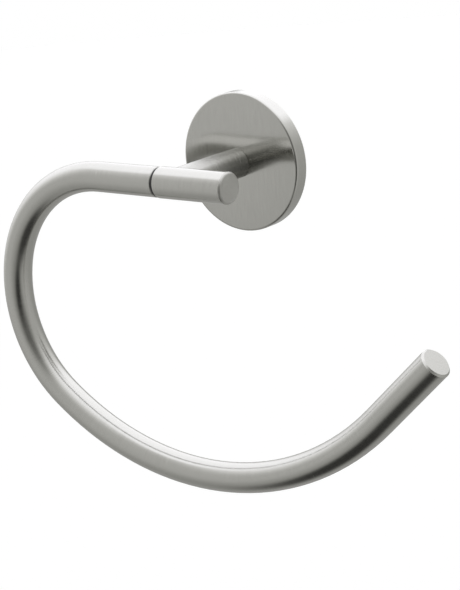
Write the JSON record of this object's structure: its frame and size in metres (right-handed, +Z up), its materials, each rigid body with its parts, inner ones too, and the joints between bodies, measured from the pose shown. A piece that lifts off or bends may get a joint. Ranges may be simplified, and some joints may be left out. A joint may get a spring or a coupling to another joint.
{
  "type": "towel ring",
  "caption": "Wall towel ring: a round rosette and short post carry a level crossbar, which runs on past a dark seam into an open ring of round tube bent to two radii.",
  "frame": {"origin": "centre of the wall disc's back face, on the wall", "axes": "+X to the right seen from the front, +Y into the wall, +Z up; the whole part lies on the -Y side of y = 0"},
  "size_m": [0.2127, 0.0521, 0.1518],
  "materials": {
    "brushed_rosette": "satin, fine upright grain on the face",
    "brushed_post": "satin",
    "brushed_bar": "satin, fine grain",
    "brushed_tube": "satin, fine grain along the tube",
    "brushed_cap": "satin, flat face",
    "plated_disc": "plain zinc plating",
    "plated_washer": "zinc plated",
    "spring_steel": "oiled spring steel",
    "screw_steel": "plain stainless",
    "turned_steel": "turned, bare",
    "black_spacer": "matte black"
  },
  "bodies": {
    "root": {"wall_disc": "plated_disc", "rosette": "brushed_rosette", "rosette_grub_screw": "screw_steel", "post": "brushed_post", "post_washer": "plated_washer", "post_lock_washer": "spring_steel", "post_screw": "screw_steel", "crossbar": "brushed_bar", "ring_stub": "turned_steel", "seam_spacer": "black_spacer", "ring_tube": "brushed_tube", "ring_end_cap": "brushed_cap"}
  },
  "joints": []
}
